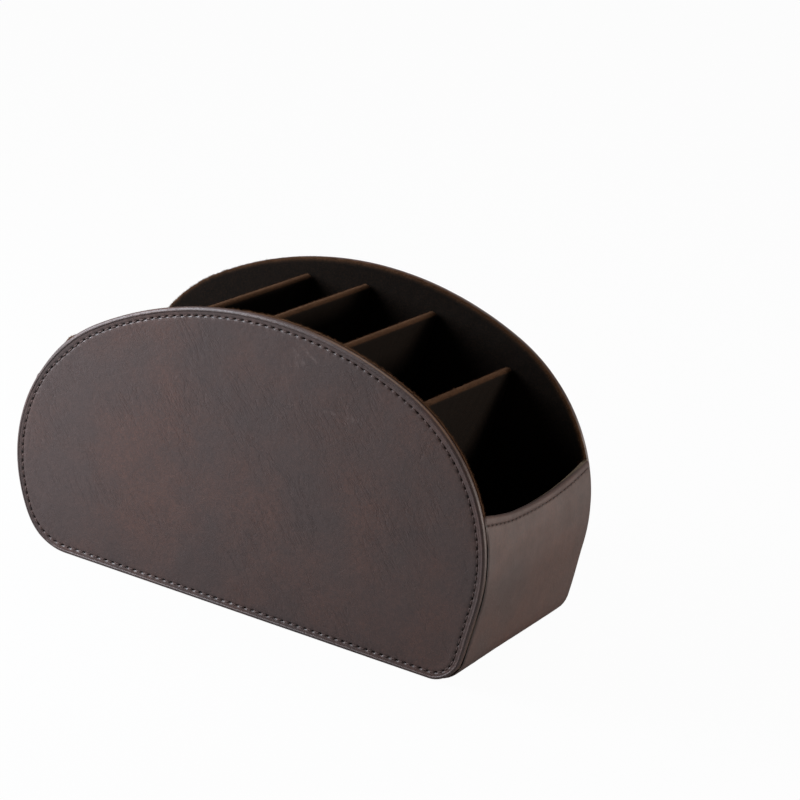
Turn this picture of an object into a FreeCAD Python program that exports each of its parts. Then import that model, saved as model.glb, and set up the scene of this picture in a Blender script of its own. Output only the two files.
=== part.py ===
import FreeCAD, Part

import math
import os

import Sketcher

# A stitched leather holder for remote controls. Two D-shaped panels stand up at the front and the back.
# One leather band runs between them and makes the left end wall, the underside and the right end wall.
# Four felt-covered dividers lean to the right and part the inside into five compartments.
# Lengths are in millimetres. X runs along the holder, Y from the front to the back and Z up.
# The origin is on the floor, under the middle of the holder.

SIZES = (
    ("panel_length", 236.4, "greatest length of the D-shaped panels"),
    ("panel_height", 137.4, "height of the crown"),
    ("crown_shift", 4.0, "how far the crown stands to the right of the middle"),
    ("widest_height", 48.8, "height at which the panels are longest"),
    ("right_tuck", 18.6, "how far the right end of the flat base stands in from the greatest length"),
    ("left_tuck", 32.0, "how far the left end of the flat base stands in from the greatest length"),
    ("right_corner", 14.4, "rounding of the lower right corner"),
    ("crown_radius", 160.0, "rounding of the crown, which runs into the two shoulders"),
    ("overall_depth", 110.4, "front face to back face"),
    ("leather", 0.8, "thickness of the leather"),
    ("skived", 0.6, "thickness of the leather where it is turned in"),
    ("turn_in", 8.0, "width of the leather that is turned in behind a panel"),
    ("board", 1.4, "thickness of every stiffening board"),
    ("panel_felt", 2.4, "thickness of the padded felt behind a panel"),
    ("felt_reveal", 0.2, "step from the leather rim in to the edge of the felt"),
    ("rim_round", 1.1, "rounding of the outer rim edge of a panel"),
    ("seam_bevel", 0.4, "bevel of the rim edge beside the seam"),
    ("wall_proud", 1.0, "how far the end walls stand out from the panels' rims"),
    ("wall_felt", 1.8, "thickness of the felt inside the band"),
    ("wall_top", 78.0, "height of an end wall where it meets the panels"),
    ("wall_dip", 4.4, "depth of the scoop in the top of an end wall"),
    ("hem_depth", 10.0, "how far the hem runs down inside an end wall"),
    ("cover_felt", 1.1, "thickness of the felt on a divider"),
    ("divider_slant", 10.4, "lean of the dividers, in degrees"),
    ("divider_round", 2.6, "rounding of a divider's upper corners"),
    ("divider_fall", 6.0, "how much lower a divider's top is at the back than at the front"),
    ("cover_bevel", 1.0, "bevel of the felt where it folds over a divider"),
    ("divider_1_base", -57.6, "where divider 1 stands on the floor lining"),
    ("divider_2_base", -28.2, "where divider 2 stands on the floor lining"),
    ("divider_3_base", 7.2, "where divider 3 stands on the floor lining"),
    ("divider_4_base", 50.7, "where divider 4 stands on the floor lining"),
    ("divider_1_drop", 9.4, "top of divider 1 below the crown"),
    ("divider_2_drop", 6.0, "top of divider 2 below the crown"),
    ("divider_3_drop", 9.4, "top of divider 3 below the crown"),
    ("divider_4_drop", 24.5, "top of divider 4 below the crown"),
)

DIVIDERS = 4
SPARE = 5.0
INWARD = {"front": 1, "back": -1}

value = {name: number for name, number, note in SIZES}
doc = FreeCAD.newDocument("RemoteHolder")
sheet = doc.addObject("Spreadsheet::Sheet", "Sizes")
for row, (name, number, note) in enumerate(SIZES, start=1):
    sheet.set(f"A{row}", note)
    sheet.set(f"B{row}", str(number))
    sheet.setAlias(f"B{row}", name)
doc.recompute()


class Amount:
    """A length worked out from the sheet: its number now, and the expression that keeps it bound."""

    def __init__(self, number, text):
        self.number = number
        self.text = text

    def __add__(self, other):
        other = amount(other)
        return Amount(self.number + other.number, f"({self.text} + {other.text})")

    def __sub__(self, other):
        other = amount(other)
        return Amount(self.number - other.number, f"({self.text} - {other.text})")

    def __mul__(self, other):
        other = amount(other)
        return Amount(self.number * other.number, f"({self.text} * {other.text})")

    def __truediv__(self, other):
        other = amount(other)
        return Amount(self.number / other.number, f"({self.text} / {other.text})")


def amount(thing):
    if isinstance(thing, Amount):
        return thing
    if isinstance(thing, str):
        return Amount(value[thing], f"Sizes.{thing}")
    return Amount(float(thing), repr(float(thing)))


ZERO = amount(0)
HALF_LENGTH = amount("panel_length") / 2
CROWN_X = amount("crown_shift")
RISE = amount("panel_height") - "widest_height"
CROWN = amount("crown_radius")
PANEL_FRONT = amount("overall_depth") / -2
PANEL_LEATHER = amount("leather") + "board" + "skived"
BAND_START = PANEL_FRONT + PANEL_LEATHER
BAND_WIDTH = amount("overall_depth") - PANEL_LEATHER * 2
INNER_DEPTH = BAND_WIDTH - amount("panel_felt") * 2
BAND_SKIN = amount("leather")
BAND_BOARD = BAND_SKIN + "board"
BAND_HEM = BAND_BOARD + "skived"
BAND_WALL = BAND_BOARD + "wall_felt"


def vector(x, y, z=0.0):
    return FreeCAD.Vector(x, y, z)


def arc(centre, radius, start, end):
    circle = Part.Circle(centre, vector(0, 0, 1), radius)
    return Part.ArcOfCircle(circle, start, end)


class End:
    """One end of the D: a lower corner and a shoulder, up to the top of the crown.

    The right end has a straight side between the two, and the left corner runs right into its shoulder.
    Places are measured outwards from the middle of the holder.
    inset is the distance in from the panels' rim. beyond makes the end that much longer.
    """

    def __init__(self, side, inset, beyond):
        self.way = {"right": 1, "left": -1}[side]
        reach = HALF_LENGTH - CROWN_X * self.way
        turn = (CROWN * CROWN - (CROWN - RISE) * (CROWN - RISE) - reach * reach) / ((CROWN - reach) * 2)
        tuck, widest = amount(f"{side}_tuck"), amount("widest_height")
        if side == "right":
            low_turn = amount("right_corner")
        else:
            low_turn = (turn * tuck * 2 - tuck * tuck - widest * widest) / ((turn - widest) * 2)
        self.corner_x = HALF_LENGTH - tuck + beyond
        self.corner_radius = low_turn - inset
        self.corner = vector(self.corner_x.number * self.way, low_turn.number)
        self.shoulder_x = HALF_LENGTH - turn + beyond
        self.shoulder_radius = turn - inset
        self.shoulder = vector(self.shoulder_x.number * self.way, widest.number)

        run, climb = self.shoulder_x.number - self.corner_x.number, widest.number - low_turn.number
        shrink = (low_turn.number - turn.number) / math.hypot(run, climb) if side == "right" else -1.0
        self.side_angle = math.atan2(climb, run) - math.acos(shrink)
        beside_crown = self.shoulder_x.number - CROWN_X.number * self.way
        rise, round_it = RISE.number, turn.number
        crown = (rise**2 + beside_crown**2 - round_it**2) / (2 * (rise - round_it))
        self.crown_angle = math.atan2(crown - rise, beside_crown)
        self.crown_number = crown - inset.number
        self.crown_centre = vector(CROWN_X.number, value["panel_height"] - crown)

    def turned(self, start, end):
        """The two angles of an arc, in the order in which the outline is drawn."""
        if self.way > 0:
            return start, end
        return math.pi - end, math.pi - start

    def corner_arc(self):
        return arc(self.corner, self.corner_radius.number, *self.turned(-math.pi / 2, self.side_angle))

    def shoulder_arc(self):
        turned = self.turned(self.side_angle, self.crown_angle)
        return arc(self.shoulder, self.shoulder_radius.number, *turned)

    def crown_arc(self):
        return arc(self.crown_centre, self.crown_number, *self.turned(self.crown_angle, math.pi / 2))

    def straight_side(self):
        outward = vector(math.cos(self.side_angle), math.sin(self.side_angle))
        low = self.corner + outward * self.corner_radius.number
        high = self.shoulder + outward * self.shoulder_radius.number
        return Part.LineSegment(low, high)


def d_outline(sketch, inset=ZERO, beyond=ZERO):
    """Draw the D: flat base, right corner, straight side, right shoulder, crown, left shoulder and corner."""
    right, left = End("right", inset, beyond), End("left", inset, beyond)
    floor = inset.number
    base, corner_right, side_right, shoulder_right, crown_right = range(5)
    crown_left, shoulder_left, corner_left, edges = range(5, 9)
    sketch.addGeometry(
        [
            Part.LineSegment(vector(left.corner.x, floor), vector(right.corner.x, floor)),
            right.corner_arc(),
            right.straight_side(),
            right.shoulder_arc(),
            right.crown_arc(),
            left.crown_arc(),
            left.shoulder_arc(),
            left.corner_arc(),
        ],
        False,
    )
    start, end, centre = 1, 2, 3
    origin = -1
    for edge in range(edges):
        kind = "Coincident" if edge == crown_right else "Tangent"
        sketch.addConstraint(Sketcher.Constraint(kind, edge, end, (edge + 1) % edges, start))
    sketch.addConstraint(Sketcher.Constraint("Horizontal", base))
    sketch.addConstraint(Sketcher.Constraint("Vertical", crown_right, end, crown_right, centre))
    sketch.addConstraint(Sketcher.Constraint("Vertical", crown_left, start, crown_left, centre))
    widest = amount("widest_height")
    driven = (
        ("floor", ("DistanceY", origin, start, base, end), inset),
        ("crown_x", ("DistanceX", origin, start, crown_right, end), CROWN_X),
        ("crown_height", ("DistanceY", origin, start, crown_right, end), amount("panel_height") - inset),
        ("right_corner", ("Radius", corner_right), right.corner_radius),
        ("right_corner_x", ("DistanceX", origin, start, corner_right, centre), right.corner_x),
        ("right_shoulder", ("Radius", shoulder_right), right.shoulder_radius),
        ("right_shoulder_x", ("DistanceX", origin, start, shoulder_right, centre), right.shoulder_x),
        ("right_shoulder_height", ("DistanceY", origin, start, shoulder_right, centre), widest),
        ("left_corner_x", ("DistanceX", corner_left, centre, origin, start), left.corner_x),
        ("left_shoulder", ("Radius", shoulder_left), left.shoulder_radius),
        ("left_shoulder_x", ("DistanceX", shoulder_left, centre, origin, start), left.shoulder_x),
        ("left_shoulder_height", ("DistanceY", origin, start, shoulder_left, centre), widest),
    )
    bind(sketch, driven)
    return sketch


def bind(sketch, driven):
    """Add named dimensions to a sketch and tie each one to the sheet."""
    for name, constraint, size in driven:
        if size.text == "0.0":
            geometry, point = constraint[-2:]
            sketch.addConstraint(Sketcher.Constraint("PointOnObject", geometry, point, -1))
            continue
        index = sketch.addConstraint(Sketcher.Constraint(*constraint, size.number))
        sketch.renameConstraint(index, name)
        sketch.setExpression(f"Constraints.{name}", size.text)


def upright_at(thing, distance):
    """Stand a sketch up in the XZ plane, at this Y."""
    thing.Placement = FreeCAD.Placement(
        vector(0, distance.number), FreeCAD.Rotation(vector(1, 0, 0), 90)
    )
    thing.setExpression("Placement.Base.y", distance.text)


def prism(name, start, length, inset=ZERO, beyond=ZERO):
    """A D-shaped block that runs back from this Y."""
    sketch = doc.addObject("Sketcher::SketchObject", f"{name}_outline")
    upright_at(sketch, start)
    d_outline(sketch, inset, beyond)
    block = doc.addObject("Part::Extrusion", name)
    block.Base = sketch
    block.DirMode = "Custom"
    block.Dir = vector(0, 1, 0)
    block.Solid = True
    block.setExpression("LengthFwd", length.text)
    return block


def cut(name, base, tool):
    result = doc.addObject("Part::Cut", name)
    result.Base = base
    result.Tool = tool
    return result


def joined(name, pieces):
    result = doc.addObject("Part::MultiFuse", name)
    result.Shapes = pieces
    result.Refine = True
    return result


def box(name, low, size):
    """A block from its lowest corner and its three lengths."""
    block = doc.addObject("Part::Box", name)
    for axis, place in zip("xyz", low):
        block.setExpression(f"Placement.Base.{axis}", place.text)
    for side, length in zip(("Length", "Width", "Height"), size):
        block.setExpression(side, length.text)
    return block


def above_scoop(name, lower):
    """The round body above the scooped top of the end walls, lowered by this much."""
    dip = amount("wall_dip")
    radius = BAND_WIDTH * BAND_WIDTH / (dip * 8) + dip / 2
    reach = amount("panel_length") + SPARE * 2
    body = doc.addObject("Part::Cylinder", name)
    body.Placement = FreeCAD.Placement(vector(0, 0), FreeCAD.Rotation(vector(0, 1, 0), 90))
    body.setExpression("Radius", radius.text)
    body.setExpression("Height", reach.text)
    body.setExpression("Placement.Base.x", (reach / -2).text)
    body.setExpression("Placement.Base.z", (amount("wall_top") - dip - lower + radius).text)
    return body


def band_layer(name, outside, inside, lower):
    """One layer of the band: a D-shaped hoop, opened from above by the scoop."""
    proud = amount("wall_proud")
    outer = prism(f"{name}_outer", BAND_START, BAND_WIDTH, outside, proud)
    inner = prism(f"{name}_inner", BAND_START - SPARE, BAND_WIDTH + SPARE * 2, inside, proud)
    hoop = cut(f"{name}_hoop", outer, inner)
    return cut(name, hoop, above_scoop(f"{name}_scoop", lower))


def plane_of(body, role):
    return [plane for plane in body.Origin.OriginFeatures if plane.Role == role][0]


def body_sketch(body, side, name, behind):
    """A sketch in a body's own XZ plane, this far in from the outer face of its panel."""
    sketch = body.newObject("Sketcher::SketchObject", name)
    sketch.AttachmentSupport = [(plane_of(body, "XZ_Plane"), "")]
    sketch.MapMode = "FlatFace"
    sketch.setExpression("AttachmentOffset.Base.z", (behind * -INWARD[side]).text)
    return sketch


def pad(body, side, sketch, length):
    """Grow a sketch in towards the middle of the holder."""
    feature = body.newObject("PartDesign::Pad", f"{sketch.Name}_pad")
    feature.Profile = sketch
    feature.Reversed = side == "front"
    feature.setExpression("Length", length.text)
    doc.recompute()
    return feature


def pocket(body, side, sketch, length):
    """Sink a sketch in towards the middle of the holder."""
    before = body.Shape.Volume
    feature = body.newObject("PartDesign::Pocket", f"{sketch.Name}_pocket")
    feature.Profile = sketch
    feature.Reversed = side == "back"
    feature.setExpression("Length", length.text)
    doc.recompute()
    if body.Shape.Volume > before - 1e-3:
        raise RuntimeError(f"{feature.Name} cuts nothing")
    return feature


def soften(body, feature, chosen, kind, size):
    """Round or bevel the edges of a feature that the test picks."""
    names = [f"Edge{i}" for i, edge in enumerate(feature.Shape.Edges, start=1) if chosen(edge)]
    softened = body.newObject(f"PartDesign::{kind}", f"{feature.Name}_{kind}")
    softened.Base = (feature, names)
    softened.setExpression({"Fillet": "Radius", "Chamfer": "Size"}[kind], size.text)
    doc.recompute()
    return softened


def new_body(side, label):
    """A body that starts at the outer face of its panel."""
    body = doc.addObject("PartDesign::Body", label)
    body.Label = label
    body.setExpression("Placement.Base.y", (PANEL_FRONT * INWARD[side]).text)
    return body


def lies_at(side, distance):
    """A test for edges that lie in the plane this far in from the outer face of a panel."""
    place = distance.number * INWARD[side]

    def test(edge):
        box_of = edge.BoundBox
        return abs(box_of.YMin - place) < 1e-4 and abs(box_of.YMax - place) < 1e-4
    return test


def panel_leather(side):
    """The leather of a panel: its face, its rim, and the margin that is turned in over the board."""
    body = new_body(side, f"{side}_panel_leather")
    face = d_outline(body_sketch(body, side, f"{side}_leather_face", ZERO))
    solid = pad(body, side, face, PANEL_LEATHER)
    rim = soften(body, solid, lies_at(side, ZERO), "Fillet", amount("rim_round"))
    soften(body, rim, lies_at(side, PANEL_LEATHER), "Chamfer", amount("seam_bevel"))
    inset = amount("leather")
    cavity = d_outline(body_sketch(body, side, f"{side}_board_room", inset), inset)
    pocket(body, side, cavity, amount("board"))
    opening = d_outline(body_sketch(body, side, f"{side}_leather_opening", inset), amount("turn_in"))
    pocket(body, side, opening, amount("board") + "skived" + SPARE)
    return body


def panel_board(side):
    """The board that keeps a panel flat. It fills the room inside the leather."""
    inset = amount("leather")
    body = new_body(side, f"{side}_panel_board")
    face = d_outline(body_sketch(body, side, f"{side}_board_face", inset), inset)
    pad(body, side, face, amount("board"))
    return body


def start_of(side, behind, length):
    """The lowest Y of a layer of this thickness, this far in from the outer face of a panel."""
    if side == "front":
        return PANEL_FRONT + behind
    return (PANEL_FRONT + behind + length) * -1


def panel_lining(side):
    """The padded felt behind a panel. It reaches the rim above the end walls and fits inside them below."""
    name = f"{side}_panel_lining"
    start = start_of(side, PANEL_LEATHER, "panel_felt")
    sheet_of_felt = prism(f"{name}_sheet", start, amount("panel_felt"), amount("felt_reveal"))
    room_depth = amount("panel_felt") + SPARE * 2
    room = prism(f"{name}_room", start - SPARE, room_depth, BAND_WALL, amount("wall_proud"))
    low = (HALF_LENGTH * -1 - SPARE, start - SPARE / 2, amount(-SPARE))
    size = (amount("panel_length") + SPARE * 2, amount("panel_felt") + SPARE, amount("wall_top") + SPARE)
    beside_walls = cut(f"{name}_walls", box(f"{name}_low", low, size), room)
    upper = cut(f"{name}_trimmed", sheet_of_felt, beside_walls)
    plug_start = start_of(side, PANEL_LEATHER - "skived", "skived")
    plug = prism(f"{name}_plug", plug_start, amount("skived"), amount("turn_in"))
    return joined(name, [upper, plug])


def panel(side):
    return [panel_leather(side), panel_board(side), panel_lining(side)]


def band_leather():
    """One strip of leather for both end walls and the underside, hemmed over the tops of the walls."""
    whole = band_layer("band_whole", ZERO, BAND_HEM, ZERO)
    board_room = band_layer("band_board_room", BAND_SKIN, BAND_BOARD, BAND_SKIN)
    felt_room = band_layer("band_felt_room", BAND_BOARD, BAND_HEM + SPARE, amount("hem_depth"))
    return cut("band_leather", whole, joined("band_rooms", [board_room, felt_room]))


def band_board(name, low_x, length):
    """One of the three boards inside the band: the part of the layer between two planes across it."""
    layer = band_layer(f"{name}_layer", BAND_SKIN, BAND_BOARD, BAND_SKIN)
    low = (low_x, BAND_START - SPARE, amount(-SPARE))
    size = (length, BAND_WIDTH + SPARE * 2, amount("wall_top") + SPARE * 2)
    board = doc.addObject("Part::Common", name)
    board.Base = layer
    board.Tool = box(f"{name}_reach", low, size)
    return board


def band_boards():
    """The boards meet where the flat base ends and its corners begin."""
    beyond = HALF_LENGTH + SPARE
    left_end = (HALF_LENGTH - "left_tuck" + "wall_proud") * -1
    right_end = HALF_LENGTH - "right_tuck" + "wall_proud"
    return [
        band_board("left_end_board", beyond * -1, beyond + left_end),
        band_board("bottom_board", left_end, right_end - left_end),
        band_board("right_end_board", right_end, beyond - right_end),
    ]


def band_lining():
    """The felt inside the band, from hem to hem. It stops where it meets the felt of the panels."""
    return band_layer("band_lining", BAND_BOARD, BAND_WALL, amount("hem_depth"))


def divider_slab(name, number, thickness, inset):
    """A slab with two round upper corners. It leans to the right and reaches below the floor lining.

    Its top falls a little towards the back. The corners turn round the same centres at every inset.
    """
    floor = BAND_WALL
    top = amount("panel_height") - f"divider_{number}_drop"
    lean = Amount(math.cos(math.radians(value["divider_slant"])), "cos(Sizes.divider_slant * 1 deg)")
    half_depth = INNER_DEPTH / 2 - inset
    round_radius = amount("divider_round") - inset
    turn_height = (top - floor) / lean - "divider_round"
    back_turn = turn_height - amount("divider_fall") / 2
    front_turn = turn_height + amount("divider_fall") / 2
    body = doc.addObject("PartDesign::Body", name)
    sketch = body.newObject("Sketcher::SketchObject", f"{name}_outline")
    sketch.AttachmentSupport = [(plane_of(body, "YZ_Plane"), "")]
    sketch.MapMode = "FlatFace"
    far, turn = half_depth.number, round_radius.number
    back = vector(far - turn, back_turn.number)
    front = vector(turn - far, front_turn.number)
    square_up = math.atan2(front.y - back.y, front.x - back.x) - math.pi / 2
    over = vector(math.cos(square_up), math.sin(square_up)) * turn
    foot, right, right_turn, top_edge, left_turn, left = range(6)
    sketch.addGeometry(
        [
            Part.LineSegment(vector(-far, -SPARE), vector(far, -SPARE)),
            Part.LineSegment(vector(far, -SPARE), vector(far, back.y)),
            arc(back, turn, 0, square_up),
            Part.LineSegment(back + over, front + over),
            arc(front, turn, square_up, math.pi),
            Part.LineSegment(vector(-far, front.y), vector(-far, -SPARE)),
        ],
        False,
    )
    start, end, centre, origin, upright = 1, 2, 3, -1, -2
    for edge in (right, right_turn, top_edge, left_turn):
        sketch.addConstraint(Sketcher.Constraint("Tangent", edge, end, edge + 1, start))
    sketch.addConstraint(Sketcher.Constraint("Coincident", left, end, foot, start))
    sketch.addConstraint(Sketcher.Constraint("Coincident", foot, end, right, start))
    sketch.addConstraint(Sketcher.Constraint("Symmetric", foot, start, foot, end, upright))
    sketch.addConstraint(Sketcher.Constraint("Vertical", right))
    sketch.addConstraint(Sketcher.Constraint("Vertical", left))
    sketch.addConstraint(Sketcher.Constraint("Equal", right_turn, left_turn))
    driven = (
        ("depth", ("DistanceX", foot, start, foot, end), half_depth * 2),
        ("turn", ("Radius", right_turn), round_radius),
        ("reach", ("DistanceY", foot, end, origin, start), amount(SPARE)),
        ("back_turn", ("DistanceY", origin, start, right_turn, centre), back_turn),
        ("front_turn", ("DistanceY", origin, start, left_turn, centre), front_turn),
    )
    bind(sketch, driven)
    slab = body.newObject("PartDesign::Pad", f"{name}_pad")
    slab.Profile = sketch
    slab.Midplane = True
    slab.setExpression("Length", thickness.text)
    body.Placement = FreeCAD.Placement(
        vector(0, 0), FreeCAD.Rotation(vector(0, 1, 0), value["divider_slant"])
    )
    body.setExpression("Placement.Base.x", amount(f"divider_{number}_base").text)
    body.setExpression("Placement.Base.z", floor.text)
    body.setExpression("Placement.Rotation.Angle", "Sizes.divider_slant")
    doc.recompute()
    return body


def ease_fold(body, thickness):
    """Ease the folded edge of the cloth along the top of a divider and down its two ends."""
    half = thickness.number / 2

    def along_top(edge):
        on_face = abs(abs(edge.CenterOfMass.x) - half) < 1e-4
        return on_face and edge.BoundBox.ZMin > 0

    soften(body, body.Tip, along_top, "Chamfer", amount("cover_bevel"))


def divider(number):
    """A divider: a board that stands on the floor lining, in a sleeve of felt that is open below."""
    name = f"divider_{number}"
    cover = amount("cover_felt")
    thickness = amount("board") + cover * 2
    sleeve = divider_slab(f"{name}_sleeve", number, thickness, ZERO)
    ease_fold(sleeve, thickness)
    core = divider_slab(f"{name}_core", number, amount("board"), cover)
    low = (HALF_LENGTH * -1, PANEL_FRONT, BAND_WALL - SPARE * 3)
    size = (amount("panel_length"), amount("overall_depth"), amount(SPARE * 3))
    ground = box(f"{name}_ground", low, size)
    board = cut(f"{name}_board", core, ground)
    felt = cut(f"{name}_felt", sleeve, joined(f"{name}_room", [core, ground]))
    return [board, felt]


def check(things):
    """Stop if any object failed, or if a piece is missing, broken or not one solid."""
    doc.recompute()
    for thing in doc.Objects:
        if "Invalid" in thing.State or "Error" in thing.State:
            raise RuntimeError(f"{thing.Name} failed: {thing.State}")
    for thing in things:
        shape = thing.Shape
        if shape.isNull() or not shape.isValid() or len(shape.Solids) != 1:
            raise RuntimeError(f"{thing.Label} is not one good solid")


def main():
    pieces = panel("front") + panel("back")
    pieces.append(band_leather())
    pieces.extend(band_boards())
    pieces.append(band_lining())
    for number in range(1, DIVIDERS + 1):
        pieces.extend(divider(number))
    check(pieces)
    os.makedirs("parts", exist_ok=True)
    for piece in pieces:
        piece.Shape.exportStep(os.path.join("parts", f"{piece.Label}.step"))
        print(f"{piece.Label}: {piece.Shape.Volume / 1000:.2f} cm3")


main()
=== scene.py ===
import functools
import math

import bpy
import numpy as np
from mathutils import Matrix, Vector


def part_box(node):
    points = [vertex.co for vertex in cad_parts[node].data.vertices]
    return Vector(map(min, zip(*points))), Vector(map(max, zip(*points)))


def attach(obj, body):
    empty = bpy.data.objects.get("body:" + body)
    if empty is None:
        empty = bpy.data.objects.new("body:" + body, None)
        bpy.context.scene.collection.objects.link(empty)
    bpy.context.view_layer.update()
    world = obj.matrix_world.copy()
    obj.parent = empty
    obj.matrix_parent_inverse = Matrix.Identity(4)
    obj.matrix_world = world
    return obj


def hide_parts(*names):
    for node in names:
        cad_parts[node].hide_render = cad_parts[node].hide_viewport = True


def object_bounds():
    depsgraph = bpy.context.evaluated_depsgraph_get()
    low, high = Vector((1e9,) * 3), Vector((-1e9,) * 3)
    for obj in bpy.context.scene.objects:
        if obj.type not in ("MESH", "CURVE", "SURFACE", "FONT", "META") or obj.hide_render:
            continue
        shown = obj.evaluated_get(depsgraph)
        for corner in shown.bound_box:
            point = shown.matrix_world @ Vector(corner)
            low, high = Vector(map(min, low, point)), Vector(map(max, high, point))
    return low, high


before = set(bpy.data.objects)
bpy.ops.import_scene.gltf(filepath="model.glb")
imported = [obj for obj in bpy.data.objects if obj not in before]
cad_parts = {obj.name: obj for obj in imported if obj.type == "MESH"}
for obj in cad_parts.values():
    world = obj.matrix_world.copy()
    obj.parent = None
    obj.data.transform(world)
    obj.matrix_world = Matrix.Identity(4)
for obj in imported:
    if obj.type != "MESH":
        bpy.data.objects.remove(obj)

# A stitched leather holder with a felt lining. Lengths are in millimetres until a mesh is made.
# X runs along the holder, Y from the front to the back and Z up. Named angles are in degrees.

MM = 0.001
CAD_BOX = [list(corner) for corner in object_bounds()]


def size_of(node):
    low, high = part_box(node)
    return (high - low) / MM


# The D outline, as in the solids.
PANEL_LENGTH, PANEL_THICK, PANEL_HEIGHT = size_of("front_panel_leather")
HALF_DEPTH = (CAD_BOX[1][1] - CAD_BOX[0][1]) / MM / 2
CROWN_SHIFT = 4.0
WIDEST_HEIGHT = 48.8
RIGHT_TUCK = 18.6
LEFT_TUCK = 32.0
RIGHT_CORNER = 14.4
CROWN_RADIUS = 160.0

# Layers of the panels and of the band, as in the solids.
LEATHER = 0.8
SKIVED = 0.6
TURN_IN = 8.0
BOARD = 1.4
PANEL_FELT = 2.4
WALL_PROUD = 1.0
WALL_FELT = 1.8
WALL_TOP = 78.0
WALL_DIP = 4.4
HEM_DEPTH = 10.0
SEAM_BEVEL = 0.4
BAND_HALF = HALF_DEPTH - PANEL_THICK
ON_BOARD = LEATHER + BOARD
HEM_THICK = ON_BOARD + SKIVED
BAND_WALL = ON_BOARD + WALL_FELT

# A panel's rolled rim: its round edge, and its fall to the seam with the widths outside and inside that.
RIM_ROUND = 1.5
ROLL_FALL = 0.14
ROLL_WIDTH = 1.5
FACE_SWELL = 0.9

# How far the felt's edge lies inside the rim, and how high up the front's left side it has a loose bit.
FELT_REVEAL = 0.2
LOOSE_HEIGHT = 99.0

# Stitching.
STITCH_INSET = 3.62
STITCHES = 161
HEM_STITCH_DROP = 3.5
HEM_STITCHES = 27
THREAD_RADIUS = 0.3
PIT_DEPTH = 0.6
PIT_WIDTH = 0.32
GROOVE_DEPTH = 0.2
GROOVE_WIDTH = 0.6
HEM_GROOVE = 0.19

# Dividers.
COVER = 1.1
DIVIDER_SLANT = 10.4
DIVIDER_ROUND = 2.6
DIVIDER_FALL = 6.0
DIVIDER_BASES = (-57.6, -28.2, 7.2, 50.7)
DIVIDER_DROPS = (9.4, 6.0, 9.4, 24.5)


class Outline:
    """A closed line of arcs, joined by straight runs, walked from its start and back to it.

    Each arc is its centre, its radius and the angles from which and to which it turns.
    Every point has the outward normal that its insets follow.
    """

    def __init__(self, arcs):
        self.parts = []
        here = np.array([0.0, 0.0])
        for x, z, radius, start, end in arcs:
            first = np.array([x + radius * math.cos(start), z + radius * math.sin(start)])
            self.parts.append(("line", here, first, start))
            self.parts.append(("arc", np.array([x, z]), radius, start, end))
            here = np.array([x + radius * math.cos(end), z + radius * math.sin(end)])
        self.parts.append(("line", here, np.array([0.0, 0.0]), -math.pi / 2))

    def lengths(self, inset):
        found = []
        for part in self.parts:
            if part[0] == "line":
                found.append(float(np.linalg.norm(part[2] - part[1])))
            else:
                found.append((part[2] - inset) * (part[4] - part[3]))
        return np.array(found)

    def at(self, walked, inset=0.0):
        """Rim points and outward normals, at these distances walked along the outline of this inset."""
        lengths = self.lengths(inset)
        ends = np.cumsum(lengths)
        walked = np.mod(np.asarray(walked, float), ends[-1])
        points = np.zeros((len(walked), 2))
        normals = np.zeros((len(walked), 2))
        which = np.minimum(np.searchsorted(ends, walked, side="right"), len(self.parts) - 1)
        for index, part in enumerate(self.parts):
            chosen = which == index
            if not chosen.any():
                continue
            share = (walked[chosen] - (ends[index] - lengths[index])) / max(lengths[index], 1e-9)
            if part[0] == "line":
                points[chosen] = part[1] + (part[2] - part[1]) * share[:, None]
                normals[chosen] = (math.cos(part[3]), math.sin(part[3]))
            else:
                turn = part[3] + (part[4] - part[3]) * share
                way = np.stack([np.cos(turn), np.sin(turn)], axis=1)
                points[chosen] = part[1] + way * part[2]
                normals[chosen] = way
        return points, normals

    def walk_to(self, height, side):
        """How far along the rim it is this high, from its start to +X for side 1 or to -X for side -1."""
        walked = np.linspace(0, self.lengths(0.0).sum() * 0.4, 6001)
        points, _ = self.at(side * walked)
        return np.interp(height, np.maximum.accumulate(points[:, 1]), walked)


def end_arcs(side, beyond):
    """Corner, shoulder and crown of the end towards +X or -X, for side 1 or -1, with x measured outwards.

    The right end is straight between its corner and shoulder. The left corner runs into its shoulder.
    """
    half = PANEL_LENGTH / 2
    shift = CROWN_SHIFT * side
    rise = PANEL_HEIGHT - WIDEST_HEIGHT
    reach = half - shift
    shoulder = (CROWN_RADIUS**2 - (CROWN_RADIUS - rise) ** 2 - reach**2) / (2 * (CROWN_RADIUS - reach))
    if side > 0:
        tuck, corner = RIGHT_TUCK, RIGHT_CORNER
    else:
        tuck = LEFT_TUCK
        corner = (2 * shoulder * tuck - tuck**2 - WIDEST_HEIGHT**2) / (2 * (shoulder - WIDEST_HEIGHT))
    corner_x, shoulder_x = half - tuck + beyond, half - shoulder + beyond
    run, climb = shoulder_x - corner_x, WIDEST_HEIGHT - corner
    shrink = (corner - shoulder) / math.hypot(run, climb) if side > 0 else -1.0
    side_angle = math.atan2(climb, run) - math.acos(shrink)
    beside = shoulder_x - shift
    crown = (rise**2 + beside**2 - shoulder**2) / (2 * (rise - shoulder))
    crown_angle = math.atan2(crown - rise, beside)
    return [
        (corner_x, corner, corner, -math.pi / 2, side_angle),
        (shoulder_x, WIDEST_HEIGHT, shoulder, side_angle, crown_angle),
        (shift, PANEL_HEIGHT - crown, crown, crown_angle, math.pi / 2),
    ]


def d_outline(beyond=0.0):
    """The D-shaped rim, walked from the base's middle towards +X, with both ends moved out this far."""
    arcs = end_arcs(1, beyond)
    for x, z, radius, start, end in reversed(end_arcs(-1, beyond)):
        arcs.append((-x, z, radius, math.pi - end, math.pi - start))
    return Outline(arcs)


RIM = d_outline()
BAND = d_outline(WALL_PROUD)

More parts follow.
